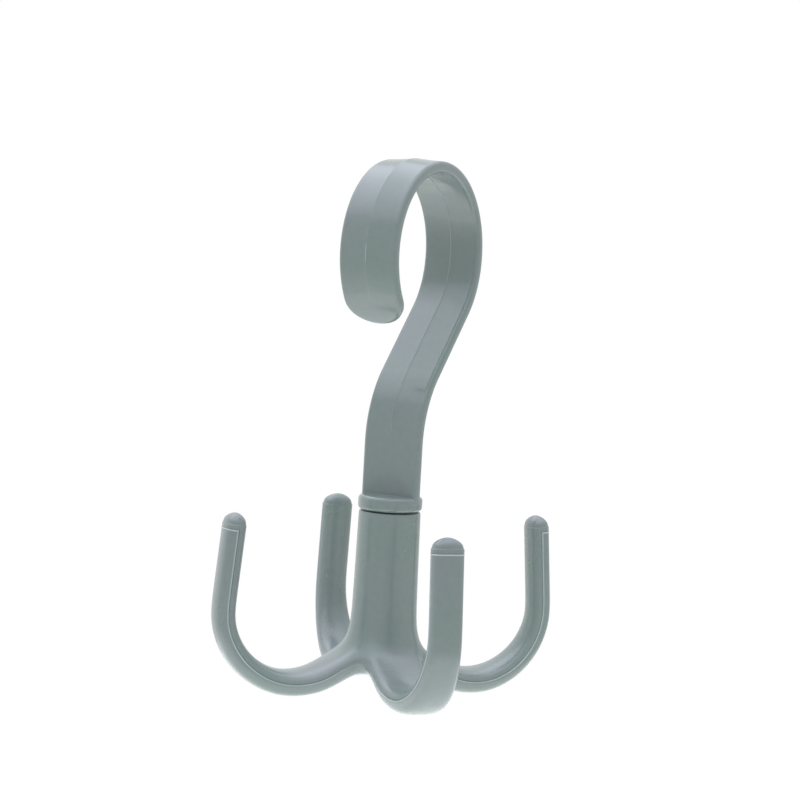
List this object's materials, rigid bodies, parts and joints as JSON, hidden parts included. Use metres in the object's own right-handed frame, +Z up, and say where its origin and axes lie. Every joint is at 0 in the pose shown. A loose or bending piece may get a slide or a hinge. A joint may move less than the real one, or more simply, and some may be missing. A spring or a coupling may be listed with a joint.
{
  "type": "rotating claw hanger",
  "caption": "Wardrobe hook with an open eye over a socket with upturned claws that turns under it, for bags, belts and scarves.",
  "frame": {"origin": "where the rod carries the hanger: middle of the eye's underside at its crown", "axes": "+Z up, parallel to the swivel's axis; the eye lies in X-Z, with its nose on the -X side"},
  "size_m": [0.099, 0.099, 0.1866],
  "materials": {
    "hook_plastic": "moulded, semi-gloss",
    "claw_plastic": "moulded, semi-gloss"
  },
  "bodies": {
    "hook": {"hook": "hook_plastic"},
    "claws": {"claw_body": "claw_plastic"}
  },
  "joints": [
    {"name": "swivel", "type": "hinge", "parent": "hook", "child": "claws", "pos_m": [-0.00622, 0, -0.1182], "axis": [0, 0, 1], "continuous": true}
  ]
}
